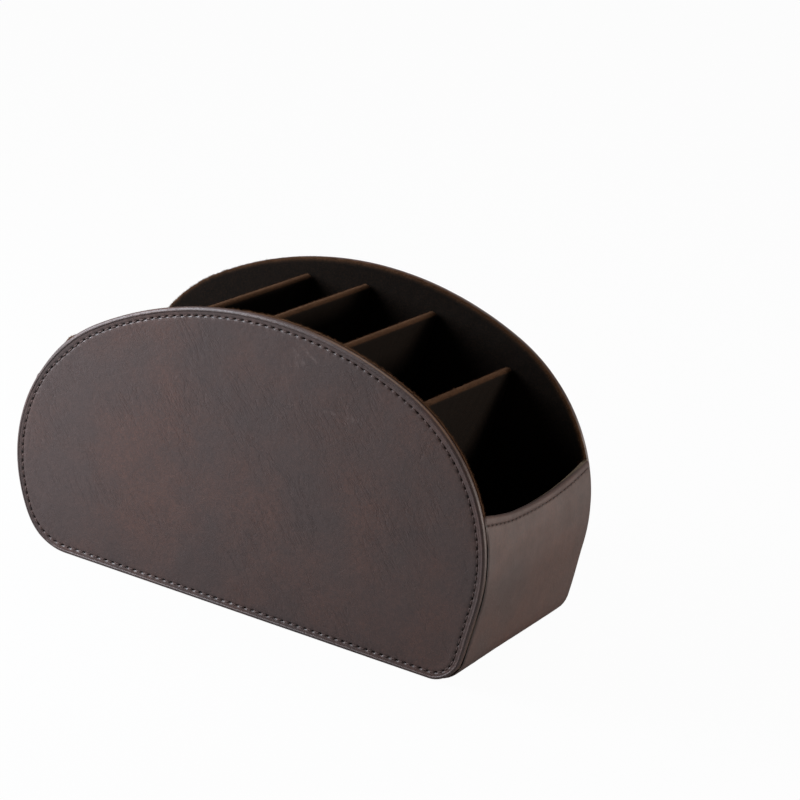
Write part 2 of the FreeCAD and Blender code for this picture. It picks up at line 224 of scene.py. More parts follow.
# How much the leather rim and the seam run inside the plain outline, as (height, amount) up each end.
LEFT_TRIM = (
    (0, 0), (4.7, 0.25), (8.3, 0.55), (12, 0.75), (21, 0.6),
    (30, 0.4), (43, 0.15), (68, 0.2), (84, 0.4), (96, 0),
)
RIGHT_TRIM = ((0, 0), (2, 0.4), (5, 0.5), (10, 0.3), (15, 0))
LEFT_SEAM_SHIFT = ((84, 0), (90, 0.5), (97, 0.8), (104, 0.4), (112, 0))


def by_height(rim, left, right=((0, 0),)):
    """A number for each rim point, from one table at the left end and another at the right end."""
    heights = rim[:, 1]
    return np.where(rim[:, 0] < 0, np.interp(heights, *zip(*left)), np.interp(heights, *zip(*right)))


def ripple(points, wavelength, seed):
    """Smooth seeded unevenness, mostly between -1 and 1, with features of about this size."""
    terms = 10
    pick = np.random.default_rng(seed)
    total = np.zeros(len(points))
    for _ in range(terms):
        way = pick.normal(size=points.shape[1])
        way /= np.linalg.norm(way)
        pace = 2 * math.pi / wavelength * pick.uniform(0.6, 1.6)
        total += np.sin(points @ way * pace + pick.uniform(0, 2 * math.pi))
    return total / math.sqrt(2 * terms)


def fade(low, high, number):
    """0 below low, 1 above high and a smooth step between."""
    share = np.clip((number - low) / (high - low), 0, 1)
    return share * share * (3 - 2 * share)


def bell(away, width):
    """1 on a line, about a third at this width from it and less beyond."""
    return np.exp(-((away / width) ** 2))


def unit(ways):
    return ways / np.linalg.norm(ways, axis=1, keepdims=True)


def loop_faces(loops, closed):
    """Faces between neighbouring loops, each given as its first point's index and its count."""
    faces = []
    for (start_a, count_a), (start_b, count_b) in zip(loops, loops[1:]):
        if count_b == 1:
            faces += [(start_a + i, start_a + (i + 1) % count_a, start_b) for i in range(count_a)]
            continue
        if count_a == 1:
            faces += [(start_a, start_b + (i + 1) % count_b, start_b + i) for i in range(count_b)]
            continue
        few = min(count_a, count_b)
        step_a, step_b = count_a // few, count_b // few
        for i in range(few if closed else few - 1):
            side_a = [start_a + (i * step_a + k) % count_a for k in range(step_a + 1)]
            side_b = [start_b + (i * step_b + k) % count_b for k in range(step_b + 1)]
            faces.append(tuple(side_a + side_b[::-1]))
    return faces


def shell(loops, closed=True):
    """Points and faces of a surface through loops or open rows. The first and last may be one point."""
    counts = [len(loop) for loop in loops]
    starts = [sum(counts[:place]) for place in range(len(counts))]
    return np.concatenate(loops), loop_faces(list(zip(starts, counts)), closed)


def make_piece(name, points, faces, material, slot, stands_for=(), marks=None):
    """A mesh object that rides with the holder. marks are numbers for its points, read by the material."""
    mesh = bpy.data.meshes.new(name)
    mesh.from_pydata((points * MM).tolist(), [], [tuple(map(int, face)) for face in faces])
    mesh.shade_smooth()
    if marks is not None:
        layer = mesh.attributes.new("pit", "FLOAT", "POINT")
        layer.data.foreach_set("value", np.concatenate(marks).astype(np.float32))
    mesh.materials.append(material)
    piece = bpy.data.objects.new(name, mesh)
    bpy.context.scene.collection.objects.link(piece)
    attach(piece, "root")
    if stands_for:
        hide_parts(*stands_for)


def facing_out(points, faces):
    """The faces, turned over if the closed surface they make is inside out."""
    triangles = [(face[0], b, c) for face in faces for b, c in zip(face[1:-1], face[2:])]
    corners = points[np.array(triangles)]
    volume = np.einsum("ij,ij->i", corners[:, 0], np.cross(corners[:, 1], corners[:, 2])).sum()
    return [tuple(reversed(face)) for face in faces] if volume < 0 else faces


def merged(parts):
    """Several (points, faces) as one."""
    points, faces, total = [], [], 0
    for part_points, part_faces in parts:
        points.append(part_points)
        faces.extend(tuple(int(i) + total for i in face) for face in part_faces)
        total += len(part_points)
    return np.concatenate(points), faces


def thread_row(spots, forwards, outs, length, seed, dive=0.5):
    """Twisted threads. Each lies at its spot, runs along forwards and dives at both ends against outs."""
    pick = np.random.default_rng(seed)
    along = np.linspace(-1, 1, 11)
    round_it = np.linspace(0, 2 * math.pi, 8, endpoint=False)
    parts = []
    for spot, forward, out, side in zip(spots, forwards, outs, np.cross(forwards, outs)):
        reach = length / 2 * pick.uniform(0.93, 1.06)
        sway = pick.uniform(-0.09, 0.09)
        lift = pick.uniform(-0.03, 0.04)
        circle = np.cos(round_it)[:, None] * side + np.sin(round_it)[:, None] * out
        loops = []
        for share in along:
            drop = dive * abs(share) ** 3
            centre = spot + forward * share * reach + side * (sway * share) + out * (lift - drop)
            thick = THREAD_RADIUS * (1 - 0.3 * share**4)
            ply = 1 + 0.1 * np.cos(3 * round_it + 5.5 * share)
            loops.append(centre + circle * (thick * ply)[:, None])
        first = loops[0].mean(axis=0, keepdims=True)
        last = loops[-1].mean(axis=0, keepdims=True)
        parts.append(shell([first, *loops, last]))
    return merged(parts)


FIBRE_RADIUS = 0.05
FIBRE_LEAN = 0.8
FIBRE_BEND = 0.55
FIBRE_SUNK = 0.25


def fibres(roots, outs, length, seed):
    """Short bent fibres that stand on these roots."""
    pick = np.random.default_rng(seed)
    count = len(roots)
    way = unit(outs + pick.normal(size=(count, 3)) * FIBRE_LEAN)
    bend = unit(way + pick.normal(size=(count, 3)) * FIBRE_BEND)
    tall = length * pick.uniform(0.35, 1.0, size=(count, 1))
    across = unit(np.cross(way, pick.normal(size=(count, 3))))
    other = np.cross(way, across)
    foot = roots - outs * FIBRE_SUNK
    middle = foot + way * (tall * 0.5 + FIBRE_SUNK)
    points = np.zeros((count, 7, 3))
    for corner in range(3):
        turn = 2 * math.pi * corner / 3
        ring = (across * math.cos(turn) + other * math.sin(turn)) * FIBRE_RADIUS
        points[:, corner] = foot + ring
        points[:, corner + 3] = middle + ring * 0.8
    points[:, 6] = middle + bend * tall * 0.5
    faces = []
    for start in range(0, count * 7, 7):
        faces.append((start + 2, start + 1, start))
        for corner in range(3):
            after = (corner + 1) % 3
            faces.append((start + corner, start + after, start + after + 3, start + corner + 3))
            faces.append((start + corner + 3, start + after + 3, start + 6))
    return points.reshape(-1, 3), faces


# Front and back panels.

OUTWARD = {"front": -1, "back": 1}

# Points to a stitch near the seam and away from it.
FINE = 8
COARSE = 2

# The face lies this deep behind the outermost level, and no leather comes nearer to it than the least.
FACE_LEVEL = 0.12
LEAST_LEVEL = 0.01

# Insets of the rows about the seam and of the face's outermost row, and the face's rows as shares of it.
FINE_INSETS = (
    7.4, 6.6, 6.0, 5.5, 5.1, 4.8, 4.6, 4.45, 4.3, 4.15,
    4.0, 3.85, 3.7, 3.55, 3.4, 3.2, 2.9, 2.5, 2.0, 1.5,
)
FACE_INSET = 8.6
FACE_SHARES = (
    0.03, 0.08, 0.14, 0.2, 0.27, 0.34, 0.41, 0.48, 0.55,
    0.62, 0.69, 0.76, 0.82, 0.88, 0.93, 0.97, 1.0,
)
PANEL_MIDDLE = np.array([0.0, 62.0])


def stitch_phase(steps):
    """Each sample's place in its stitch, from -0.5 to 0.5 about the hole, and the number of that hole."""
    nearest = np.round(steps)
    return steps - nearest, nearest.astype(int)


def pit(phase, index, away, seed):
    """How deep the needle holes are, as shares of their depth, this far away from the seam's line."""
    pick = np.random.default_rng(seed)
    deep = pick.uniform(0.75, 1.15, size=index.max() + 1)[index]
    shift = pick.uniform(-0.07, 0.07, size=index.max() + 1)[index]
    along = 1 - fade(0.1, 0.26, np.abs(phase))
    return deep * along * bell(away - shift, PIT_WIDTH)


def in_panel(flat, depth, side):
    """Points of the XZ plane, put this deep behind the outer face of a panel."""
    across = OUTWARD[side] * (HALF_DEPTH - np.broadcast_to(depth, len(flat)))
    return np.column_stack([flat[:, 0], across, flat[:, 1]])


def panel_skin(side, material):
    """The leather of a panel, as a closed skin round the board that it covers."""
    seed = {"front": 11, "back": 12}[side]
    count = STITCHES * FINE
    walked = np.arange(count) / count * RIM.lengths(STITCH_INSET).sum()
    rim, normal = RIM.at(walked, STITCH_INSET)
    trim = by_height(rim, LEFT_TRIM, RIGHT_TRIM)
    seam = STITCH_INSET + by_height(rim, LEFT_SEAM_SHIFT)
    phase, index = stitch_phase(np.arange(count) / FINE)
    coarse_rim, coarse_normal = rim[:: FINE // COARSE], normal[:: FINE // COARSE]
    loops, marks = [], []

    def drawn_in(inset):
        """This inset from the plain outline, moved so that the rim is trimmed and the seam in place."""
        outside = trim + inset * (seam - trim) / STITCH_INSET
        inside = inset + (seam - STITCH_INSET) * (1 - fade(STITCH_INSET, FINE_INSETS[0], inset))
        return np.where(inset < STITCH_INSET, outside, inside)[:, None]

    def wavy(flat):
        return 0.1 * ripple(flat, 52.0, seed) + 0.045 * ripple(flat, 17.0, seed + 20)

    def add(flat, depth, dark=0.0):
        loops.append(in_panel(flat, depth, side))
        marks.append(np.broadcast_to(dark, len(flat)))

    add(PANEL_MIDDLE[None], FACE_LEVEL)
    for share in FACE_SHARES:
        flat = PANEL_MIDDLE + (coarse_rim - coarse_normal * FACE_INSET - PANEL_MIDDLE) * share
        add(flat, np.maximum(FACE_LEVEL + wavy(flat), LEAST_LEVEL))
    for inset in FINE_INSETS:
        flat = rim - normal * drawn_in(inset)
        away = inset - STITCH_INSET
        level = FACE_LEVEL * fade(STITCH_INSET, STITCH_INSET + 1.5, inset)
        waves = wavy(flat) * fade(STITCH_INSET + 0.4, STITCH_INSET + 4.0, inset)
        groove = GROOVE_DEPTH * bell(away, GROOVE_WIDTH if away < 0 else FACE_SWELL)
        roll = ROLL_FALL * bell(away, ROLL_WIDTH if away < 0 else FACE_SWELL)
        holes = pit(phase, index % STITCHES, away, seed)
        pull = 0.06 * np.cos(2 * math.pi * phase) * bell(away, 1.3)
        depth = level + waves + groove + roll + PIT_DEPTH * holes + pull
        # Painted shade: the needle holes and a line along the stitch groove are marked dark.
        dark = np.maximum(holes, 0.22 * bell(away - 0.15, 0.4))
        burnished = fade(STITCH_INSET - 1.1, RIM_ROUND, inset)
        add(flat, np.maximum(depth, LEAST_LEVEL), dark - burnished)

    # The round edge of the rim, with a pale tan painted highlight at the upper right.
    painted_highlight = fade(10.0, 40.0, rim[:, 0]) * (1 - fade(88.0, 102.0, rim[:, 0])) * (rim[:, 1] > WALL_TOP)
    uneven = np.maximum(0.03 * ripple(rim, 23.0, seed + 40), 0)[:, None]
    for degrees in np.linspace(0, 90, 9):
        turn = math.radians(degrees)
        inset = drawn_in(RIM_ROUND * (1 - math.sin(turn))) + uneven
        add(rim - normal * inset, RIM_ROUND * (1 - math.cos(turn)), -1.0 - painted_highlight * fade(50, 75, degrees))

    # The edge behind it, painted dark as shade where it meets an end wall, and the leather turned in.
    beside_wall = 1 - fade(WALL_TOP - 3, WALL_TOP + 1, rim[:, 1])
    for inset, depth, dark in (
        (0.0, PANEL_THICK * 0.62, 0.0),
        (0.05, PANEL_THICK - SEAM_BEVEL - 0.05, 0.1),
        (0.18, PANEL_THICK - 0.2, 0.6),
        (SEAM_BEVEL, PANEL_THICK, 0.9),
    ):
        add(rim - normal * drawn_in(inset), depth, dark * beside_wall)
    for inset, depth in (
        (2.0, PANEL_THICK), (TURN_IN, PANEL_THICK), (TURN_IN, ON_BOARD),
        (LEATHER, ON_BOARD), (LEATHER, LEATHER), (TURN_IN, LEATHER),
    ):
        add(coarse_rim - coarse_normal * inset, depth)
    add(PANEL_MIDDLE + (coarse_rim - PANEL_MIDDLE) * 0.4, LEATHER)
    add(PANEL_MIDDLE[None], LEATHER)
    points, faces = shell(loops)
    faces = facing_out(points, faces)
    make_piece(f"{side}_skin", points, faces, material, "leather", (f"{side}_panel_leather",), marks)


def panel_stitches(side, material):
    """The row of threads round a panel, one from each hole to the next."""
    pitch = RIM.lengths(STITCH_INSET).sum() / STITCHES
    rim, normal = RIM.at((np.arange(STITCHES) + 0.5) * pitch, STITCH_INSET)
    seam = STITCH_INSET + by_height(rim, LEFT_SEAM_SHIFT)
    spots = in_panel(rim - normal * seam[:, None], GROOVE_DEPTH + ROLL_FALL - 0.1, side)
    forwards = np.column_stack([-normal[:, 1], np.zeros(STITCHES), normal[:, 0]])
    outs = np.tile((0.0, float(OUTWARD[side]), 0.0), (STITCHES, 1))
    points, faces = thread_row(spots, forwards, outs, pitch * 0.72, {"front": 61, "back": 62}[side])
    make_piece(f"{side}_stitches", points, facing_out(points, faces), material, "leather")


def panel_felt(side, material):
    """The felt behind a panel: out to the rim above the end walls, and inside them below."""
    seed = {"front": 31, "back": 32}[side]
    total = RIM.lengths(0.0).sum()
    count = 900
    walked = np.arange(count) / count * total
    rim, normal = RIM.at(walked)
    uneven = 0.12 * ripple(rim, 6.0, seed) + 0.1 * ripple(rim, 2.2, seed + 1) - 0.25
    if side == "front":
        # Trimmed lower along the left half, but for one loose bit that stands out.
        loose = bell(rim[:, 1] - LOOSE_HEIGHT, 3.5) * (rim[:, 0] < 0)
        uneven += 0.8 * (1 - fade(-35.0, 5.0, rim[:, 0])) - 1.6 * loose
    edge = np.where(rim[:, 1] < WALL_TOP, BAND_WALL - WALL_PROUD, FELT_REVEAL + uneven)
    back = PANEL_THICK + PANEL_FELT
    loops, marks = [], []

    # Each row's mark is 1 where the felt's edge is left brown as if lit and 0 inside, where it is painted
    # near black as shade.
    def add(flat, depth, wear_and_painted_light=0.0):
        loops.append(in_panel(flat, depth, side))
        marks.append(np.full(len(flat), wear_and_painted_light))

    add(PANEL_MIDDLE[None], back)
    for share in (0.06, 0.13, 0.2, 0.28, 0.36, 0.44, 0.52, 0.6, 0.68, 0.76, 0.83, 0.89, 0.94, 0.98):
        flat = PANEL_MIDDLE + (rim - normal * (edge + 3.2)[:, None] - PANEL_MIDDLE) * share
        add(flat, back - 0.12 * (1 + ripple(flat, 9.0, seed + 2)))
    for inset, depth, wear_and_painted_light in (
        (2.2, back - 0.12, 0.0),
        (1.3, back - 0.14, 0.15),
        (0.7, back - 0.3, 0.6),
        (0.3, back - 0.6, 1.0),
        (0.06, back - 1.0, 1.0),
        (0.0, back - 1.5, 1.0),
        (0.02, back - 1.9, 1.0),
        (0.15, PANEL_THICK + 0.12, 1.0),
        (0.5, PANEL_THICK + 0.02, 1.0),
    ):
        fuzz = 0.07 * ripple(rim * (1 + 0.01 * depth), 1.9, seed + 3)
        add(rim - normal * (edge + inset + fuzz)[:, None], depth, wear_and_painted_light)
    for depth in (PANEL_THICK + 0.02, PANEL_THICK - SKIVED):
        add(rim - normal * (TURN_IN + 0.05), depth)
    add(PANEL_MIDDLE[None], PANEL_THICK - SKIVED)
    points, faces = shell(loops)

    # Fibres along the edge that shows.
    pick = np.random.default_rng(seed + 5)
    chosen = pick.choice(np.flatnonzero(rim[:, 1] > WALL_TOP), size=5200)
    spot, way = RIM.at(walked[chosen] + pick.uniform(0, total / count, len(chosen)))
    tilt = pick.uniform(-0.35, 1.25, len(chosen))
    inset = edge[chosen] + 1.0 - np.cos(np.clip(tilt, -1, 1.3))
    roots = in_panel(spot - way * inset[:, None], PANEL_THICK + 1.2 + np.sin(tilt) * 1.1, side)
    rise = way * np.cos(tilt)[:, None]
    outs = np.column_stack([rise[:, 0], -OUTWARD[side] * np.sin(tilt), rise[:, 1]])
    fluff = fibres(roots, outs, 0.95, seed + 6)
    marks.append(np.ones(len(fluff[0])))
    points, faces = merged([(points, facing_out(points, faces)), fluff])
    make_piece(f"{side}_felt", points, faces, material, "felt", (f"{side}_panel_lining",), marks)


# The band.

# The surface turns in towards the seams at both sides by these radii, but never down to the board.
EASE_FRONT = 1.3
EASE_BACK = 0.8
EASE_MOST = LEATHER - 0.04

# Half the width that the hem's stitches take up.
SEWN_HALF = BAND_HALF - EASE_FRONT
BAND_FINE = 8

# How far below the wall's top the rows about the hem's stitches lie, outside and inside.
HEM_ROWS = (
    1.6, 1.9, 2.2, 2.5, 2.7, 2.9, 3.05, 3.2, 3.35, 3.5, 3.65,
    3.8, 3.95, 4.15, 4.4, 4.8, 5.4, 6.2, 7.4, 9.0, 11.0, 13.0,
)
INNER_ROWS = (5.1, 4.6, 4.2, 3.95, 3.8, 3.65, 3.5, 3.35, 3.2, 3.05, 2.8, 2.4, 1.9, 1.6)
HEM_INSIDE = HEM_THICK - 0.02
HEM_SWELL = 0.3

# How far the left wall is drawn in, and how far the lower part of the right one bulges at its rear.
LEFT_WALL_DRAWN = 0.6
RIGHT_WALL_FULL = 0.75

# The height at which the wall's rows end and the floor's begin.
FOOT_HEIGHT = 0.4
WALL_ROWS = 34
FLOOR_ROWS = 17


def wall_top_walk(across, side):
    """How far along the band its top edge is, for each place across it, because the top is scooped."""
    share = across / BAND_HALF
    dip = WALL_DIP * (1 - share**2)
    tip_up = 0.5 * -share + 1.0 * fade(0.45, 1.0, -share)
    return BAND.walk_to(WALL_TOP - dip + tip_up, side)


def hem_drop(across):
    """How far below the top edge the hem's stitches run: a little further near the front."""
    return HEM_STITCH_DROP + 0.8 * fade(0.2, 1.0, -across / BAND_HALF)


def seam_ease(across):
    """How far the surface turns in towards the seams at both sides."""
    radius = np.where(across < 0, EASE_FRONT, EASE_BACK)
    beyond = np.clip(np.abs(across) - (BAND_HALF - radius), 0, radius * 0.999)
    return np.minimum(radius - np.sqrt(radius**2 - beyond**2), EASE_MOST)


def band_point(walked, inset, across, side):
    """Points of the band, this far round it from the floor's middle, to +X or -X for side 1 or -1."""
    rim, normal = BAND.at(side * np.broadcast_to(walked, len(across)))
    flat = rim - normal * np.broadcast_to(inset, len(across))[:, None]
    return np.column_stack([flat[:, 0], across, flat[:, 1]])


def band_across():
    """Places across the band, even along the stitches and closer where it turns in to the seams."""
    steps = HEM_STITCHES * BAND_FINE
    inside = (np.arange(steps + 1) / steps * 2 - 1) * SEWN_HALF
    edge = SEWN_HALF + EASE_FRONT * np.sin(np.radians((25, 50, 75, 90)))
    return np.concatenate([-edge[::-1], inside, edge])


def bridge(points, outer, inner, flip):
    """Triangles between two rows of points that start and end together."""
    faces = []
    i = j = 0
    while i < len(outer) - 1 or j < len(inner) - 1:
        gap_i = gap_j = math.inf
        if i + 1 < len(outer):
            gap_i = np.linalg.norm(points[outer[i + 1]] - points[inner[j]])
        if j + 1 < len(inner):
            gap_j = np.linalg.norm(points[outer[i]] - points[inner[j + 1]])
        if gap_i <= gap_j:
            face = (outer[i], inner[j], outer[i + 1])
            i += 1
        else:
            face = (outer[i], inner[j], inner[j + 1])
            j += 1
        faces.append(tuple(reversed(face)) if flip else face)
    return faces


def closed_strip(seen, hidden):
    """Points and faces of a closed strip, from the rows of its two sides, which run the same way."""
    rows, count = seen + hidden[::-1], len(seen[0])
    points, faces = shell(rows, closed=False)
    last = (len(rows) - 1) * count
    faces += [(last + i, last + i + 1, i + 1, i) for i in range(count - 1)]
    # The two long edges, beside the seams.
    for column in (0, count - 1):
        outer = [row * count + column for row in range(len(seen))]
        inner = [row * count + column for row in range(len(seen), len(rows))][::-1]
        faces += bridge(points, outer, inner, column == 0)
    return points, facing_out(points, faces)


def band_skin(material):
    """One strip of leather: up inside one hem, over it, down the wall, under the floor and up again."""
    across = band_across()
    count = len(across)
    phase, index = stitch_phase((across / SEWN_HALF + 1) / 2 * HEM_STITCHES)
    index = np.clip(index, 0, HEM_STITCHES)
    ease = seam_ease(across)
    # Painted shade along the seams, where the surface turns in towards the crack.
    seam_painted_shade = fade(0.5, EASE_MOST, ease)
    lower = hem_drop(across) - HEM_STITCH_DROP
    half_round = HEM_THICK / 2

    def half(side):
        """The rows from the foot of the hem, inside, to the last row before the floor's middle."""
        seed = 71 if side > 0 else 72
        top, foot = wall_top_walk(across, side), BAND.walk_to(FOOT_HEIGHT, side)
        drawn = 0.0 if side > 0 else LEFT_WALL_DRAWN
        full = RIGHT_WALL_FULL * fade(-0.7, 1.0, across / BAND_HALF) if side > 0 else 0.0
        made = []

        def add(walked, inset, dark=0.0):
            made.append((band_point(walked, inset, across, side), np.broadcast_to(dark, count)))

        for drop, sunk in ((HEM_DEPTH, 0.25), (HEM_DEPTH - 0.3, 0.0), (8.5, 0.0), (7.0, 0.0), (5.6, 0.0)):
            add(top - drop, HEM_INSIDE - sunk)
        for drop in INNER_ROWS:
            away = drop - HEM_STITCH_DROP
            holes = pit(phase, index, away, seed + 9)
            sink = 0.3 * (GROOVE_DEPTH * bell(away, GROOVE_WIDTH) + PIT_DEPTH * holes)
            # The holes are marked dark here too, as painted shade.
            add(top - drop - lower, HEM_INSIDE - sink, holes)
        for turn in math.pi * (1 - np.arange(11) / 10):
            roll = 0.04 * ripple(across[:, None], 14.0, seed + 3) - 0.9 * ease
            height = top - half_round + (half_round + roll) * math.sin(turn)
            add(height, half_round * (1 - math.cos(turn)) + ease * (turn < 1.6), -0.6)
        for drop in HEM_ROWS:
            away = drop - HEM_STITCH_DROP
            holes = pit(phase, index, away, seed)
            swell = HEM_SWELL * fade(1.6, HEM_STITCH_DROP, drop) * (1 - fade(4.2, 11.0, drop))
            pull = 0.08 * np.cos(2 * math.pi * phase) * bell(away, 1.5)
            sink = ease + swell + HEM_GROOVE * bell(away, GROOVE_WIDTH) + 0.6 * PIT_DEPTH * holes
            sink = np.minimum(sink + np.maximum(pull, 0) + drawn * fade(4.0, 8.0, drop), LEATHER - 0.02)
            # Painted shade in the hem's needle holes and along its stitch groove.
            dark = np.maximum(holes, 0.4 * bell(away, 0.4))
            below = drop + lower * fade(1.4, 2.9, drop) * (1 - fade(6.0, 13.0, drop))
            add(top - below, sink, dark - 0.6 * (1 - fade(1.5, 3.0, drop)))
        start = top - HEM_ROWS[-1]
        for share in np.arange(1, WALL_ROWS + 1) / WALL_ROWS:
            walked = start + (foot - start) * share
            flat = np.column_stack([walked, across])
            above_foot = 1 - fade(0.86, 1.0, share)
            waves = 0.06 * (1 + ripple(flat, 46.0, seed))
            waves += 0.02 * (1 + ripple(flat * (0.25, 1.0), 9.0, seed + 1))
            swell = full * fade(0.35, 0.7, share) * above_foot
            sink = ease + waves * fade(0, 0.12, share) * above_foot + drawn - swell
            add(walked, np.minimum(sink, EASE_MOST), seam_painted_shade)
        for step in range(1, FLOOR_ROWS + 1):
            sink = ease + drawn * (1 - fade(0, 0.1, step / FLOOR_ROWS))
            add(foot * (1 - step / (FLOOR_ROWS + 1)), np.minimum(sink, EASE_MOST), seam_painted_shade)
        return made

    def hidden_half(side):
        """The hidden side of the same strip, from the foot of the hem to the floor's middle."""
        top, foot = wall_top_walk(across, side), BAND.walk_to(FOOT_HEIGHT, side)
        rows = [band_point(top - drop, ON_BOARD, across, side) for drop in (HEM_DEPTH, 5.0, LEATHER)]
        rows += [band_point(top - drop, LEATHER, across, side) for drop in (LEATHER, 10.0, 30.0, 50.0)]
        for share in (1.25, 1.12, 1.0, 0.75, 0.5, 0.25):
            rows.append(band_point(foot * share, LEATHER, across, side))
        return rows

    seen = [*half(1), (band_point(0.0, ease, across, 1), np.zeros(count)), *half(-1)[::-1]]
    hidden = [*hidden_half(1), band_point(0.0, LEATHER, across, 1), *hidden_half(-1)[::-1]]
    points, faces = closed_strip([row for row, _ in seen], hidden)
    marks = [dark for _, dark in seen] + [np.zeros(count)] * len(hidden)
    make_piece("band_skin", points, faces, material, "leather", ("band_leather",), marks)


def hem_stitches(material):
    """Threads along both hems, outside and inside."""
    parts = []
    pitch = 2 * SEWN_HALF / HEM_STITCHES
    across = (np.arange(HEM_STITCHES) + 0.5) * pitch - SEWN_HALF
    ahead = across + 0.5
    for side in (1, -1):
        walked = wall_top_walk(across, side) - hem_drop(across)
        further = wall_top_walk(ahead, side) - hem_drop(ahead)
        _, normal = BAND.at(side * walked)
        for inset, face, dive, seed in (
            (HEM_GROOVE + HEM_SWELL - 0.14, 1, 0.42, 81),
            (HEM_INSIDE - 0.12, -1, 0.3, 83),
        ):
            spots = band_point(walked, inset, across, side)
            forwards = unit(band_point(further, inset, ahead, side) - spots)
            outs = np.column_stack([normal[:, 0], np.zeros(HEM_STITCHES), normal[:, 1]]) * face
            parts.append(thread_row(spots, forwards, outs, pitch * 0.7, seed + side, dive))
    points, faces = merged(parts)
    make_piece("hem_stitches", points, facing_out(points, faces), material, "leather")


def band_felt(material):
    """The felt inside the band, from hem to hem. It has no marks, so all of it takes the felt's near-black
    painted shade.
    """
    across = np.linspace(-BAND_HALF, BAND_HALF, 71)
    steps = 44

    def half(side):
        """The rows of one end and half the floor, seen and hidden, from the top down."""
        top = wall_top_walk(across, side) - HEM_DEPTH
        seen = []
        for share, drop in ((0.0, 0.0), (0.45, 0.03), (0.8, 0.25), (1.0, 0.8)):
            inset = ON_BOARD + 0.02 + (WALL_FELT - 0.02) * share
            seen.append(band_point(top - drop, inset, across, side))
        for step in range(1, steps):
            walked = (top - 0.8) * (1 - step / steps)
            inset = BAND_WALL - 0.1 * (1 + ripple(np.column_stack([walked, across]), 8.0, 91 + side))
            seen.append(band_point(walked, inset, across, side))
        hidden = []
        for step in range(0, steps, 4):
            hidden.append(band_point(top * (1 - step / steps), ON_BOARD, across, side))
        return seen, hidden

    (seen_right, hidden_right), (seen_left, hidden_left) = half(1), half(-1)
    seen = [*seen_right, band_point(0.0, BAND_WALL - 0.1, across, 1), *seen_left[::-1]]
    hidden = [*hidden_right, band_point(0.0, ON_BOARD, across, 1), *hidden_left[::-1]]
    make_piece("band_felt", *closed_strip(seen, hidden), material, "felt", ("band_lining",))


# Dividers.

